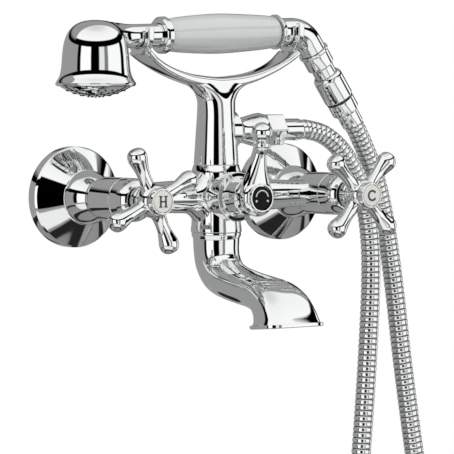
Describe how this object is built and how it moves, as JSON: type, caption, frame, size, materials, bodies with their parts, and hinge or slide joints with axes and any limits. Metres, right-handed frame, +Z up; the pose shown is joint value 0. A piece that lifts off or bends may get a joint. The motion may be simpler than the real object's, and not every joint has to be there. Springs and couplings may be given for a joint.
{
  "type": "wall mounted bath mixer with hand shower",
  "caption": "Chrome wall mounted bath mixer with cross handles, lever diverter, curved spout, cradle and porcelain-gripped hand shower on a spiral metal hose.",
  "frame": {"origin": "on the wall face, midway between the two inlets", "axes": "+X to the right along the wall as the user sees it, +Y into the wall, +Z up; the mixer stands out along -Y"},
  "size_m": [0.368, 0.158, 0.6549],
  "materials": {
    "chrome": "polished",
    "porcelain": "glazed",
    "ivory_enamel": "gloss",
    "black_plastic": "smooth",
    "brass": "turned",
    "rubber": "matt",
    "fibre": "matt",
    "steel": "turned",
    "hose_metal": "polished spiral strip"
  },
  "bodies": {
    "mixer": {"column_seal": "rubber", "cradle_column": "chrome", "diverter_bonnet": "chrome", "diverter_cartridge": "brass", "headwork_cold": "brass", "headwork_hot": "brass", "hose_ferrule_tap": "chrome", "hose_nipple": "brass", "hose_nut_tap": "chrome", "hose_washer_tap": "rubber", "mixer_body": "chrome", "shower_hose_handset": "hose_metal", "shower_hose_tap": "hose_metal", "spout": "chrome", "spout_outlet": "black_plastic", "union_nut_cold": "chrome", "union_nut_hot": "chrome", "union_washer_cold": "fibre", "union_washer_hot": "fibre", "valve_bonnet_cold": "chrome", "valve_bonnet_hot": "chrome", "wall_flange_cold": "chrome", "wall_flange_hot": "chrome", "wall_union_cold": "brass", "wall_union_hot": "brass"},
    "hot_handle": {"cross_handle_hot": "chrome", "handle_screw_hot": "steel", "handle_cap_hot": "chrome", "index_disc_hot": "ivory_enamel", "spindle_hot": "brass"},
    "cold_handle": {"cross_handle_cold": "chrome", "handle_screw_cold": "steel", "handle_cap_cold": "chrome", "index_disc_cold": "ivory_enamel", "spindle_cold": "brass"},
    "diverter": {"diverter_lever": "chrome", "lever_ball": "chrome", "diverter_screw": "steel", "diverter_index": "black_plastic", "diverter_spindle": "brass"},
    "handset": {"handset_head": "chrome", "spray_face": "chrome", "spray_seal": "rubber", "grip_ring_front": "chrome", "porcelain_grip": "porcelain", "grip_ring_rear": "chrome", "grip_tube": "brass", "handset_elbow": "chrome", "handset_connector": "chrome", "hose_nut_handset": "chrome", "hose_washer_handset": "rubber", "hose_cone": "chrome", "hose_seal_ring": "rubber", "hose_ferrule_handset": "chrome"}
  },
  "joints": [
    {"name": "hot_turn", "type": "hinge", "parent": "mixer", "child": "hot_handle", "pos_m": [-0.09, -0.098, 0], "axis": [0, 1, 0], "range_deg": [0, 90]},
    {"name": "cold_turn", "type": "hinge", "parent": "mixer", "child": "cold_handle", "pos_m": [0.09, -0.098, 0], "axis": [0, -1, 0], "range_deg": [0, 90]},
    {"name": "diverter_turn", "type": "hinge", "parent": "mixer", "child": "diverter", "pos_m": [0, -0.094, 0], "axis": [0, 1, 0], "range_deg": [-45, 45]},
    {"name": "handset_lift", "type": "slide", "parent": "mixer", "child": "handset", "axis": [0, 0, 1], "range_m": [0, 0.04]}
  ]
}
